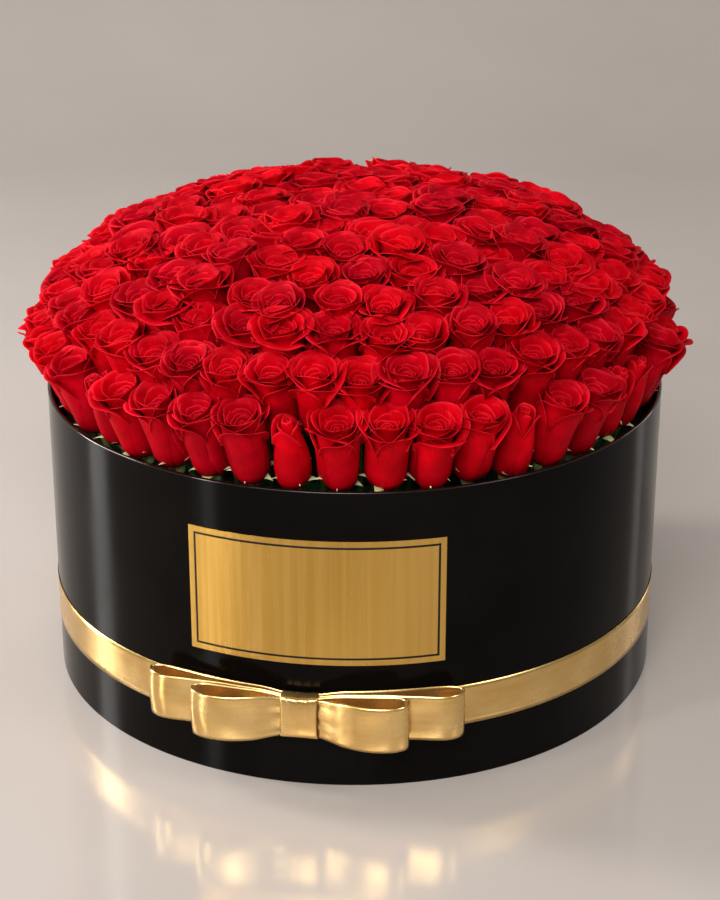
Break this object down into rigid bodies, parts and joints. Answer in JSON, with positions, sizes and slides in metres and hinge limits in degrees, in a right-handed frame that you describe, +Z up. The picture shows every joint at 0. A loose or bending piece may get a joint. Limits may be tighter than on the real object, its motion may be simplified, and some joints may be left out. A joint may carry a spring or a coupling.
{
  "type": "flower box",
  "caption": "Round hat box of black laminated board with a gold label plate and a ribbon with a flat bow, filled with a dome of red roses that lifts out in its foam tub",
  "frame": {"origin": "on the floor, on the axis of the round box, at the centre of its base", "axes": "+Z up along the box's axis; the label's middle faces -Y and the bow stands out to -Y; +X is to the right of someone facing the label"},
  "size_m": [0.6228, 0.6419, 0.4646],
  "materials": {
    "greyboard": "matte",
    "black_paper": "gloss",
    "adhesive_tape": "matte",
    "gold_foil_card": "satin",
    "gold_satin": "satin",
    "corrugated_board": "matte",
    "clear_tub_plastic": "satin",
    "wet_foam": "matte",
    "red_petals": "matte",
    "green_sepals": "matte",
    "green_stems": "matte"
  },
  "bodies": {
    "box": {"wall_tube": "greyboard", "outer_wrap": "black_paper", "inner_lining": "black_paper", "base_disc": "greyboard", "base_cover": "black_paper", "floor_lining": "black_paper", "label_adhesive": "adhesive_tape", "label_plate": "gold_foil_card", "ribbon_band": "gold_satin", "bow_pad": "adhesive_tape", "bow_back_loops": "gold_satin", "bow_front_loops": "gold_satin", "bow_knot": "gold_satin", "riser_panel_x1": "corrugated_board", "riser_panel_x2": "corrugated_board", "riser_panel_x3": "corrugated_board", "riser_panel_y1": "corrugated_board", "riser_panel_y2": "corrugated_board", "riser_panel_y3": "corrugated_board", "riser_deck": "corrugated_board"},
    "arrangement": {"liner_tub": "clear_tub_plastic", "foam_row_1": "wet_foam", "foam_row_2": "wet_foam", "foam_row_3": "wet_foam", "foam_row_4": "wet_foam", "foam_row_5": "wet_foam", "ring_0_heads": "red_petals", "ring_1_heads": "red_petals", "ring_2_heads": "red_petals", "ring_3_heads": "red_petals", "ring_4_heads": "red_petals", "ring_5_heads": "red_petals", "ring_6_heads": "red_petals", "ring_7_heads": "red_petals", "ring_8_heads": "red_petals", "ring_0_calyxes": "green_sepals", "ring_1_calyxes": "green_sepals", "ring_2_calyxes": "green_sepals", "ring_3_calyxes": "green_sepals", "ring_4_calyxes": "green_sepals", "ring_5_calyxes": "green_sepals", "ring_6_calyxes": "green_sepals", "ring_7_calyxes": "green_sepals", "ring_8_calyxes": "green_sepals", "ring_0_stems": "green_stems", "ring_1_stems": "green_stems", "ring_2_stems": "green_stems", "ring_3_stems": "green_stems", "ring_4_stems": "green_stems", "ring_5_stems": "green_stems", "ring_6_stems": "green_stems", "ring_7_stems": "green_stems", "ring_8_stems": "green_stems"}
  },
  "joints": [
    {"name": "arrangement_lift", "type": "slide", "parent": "box", "child": "arrangement", "axis": [0, 0, 1], "range_m": [0, 0.3]}
  ]
}
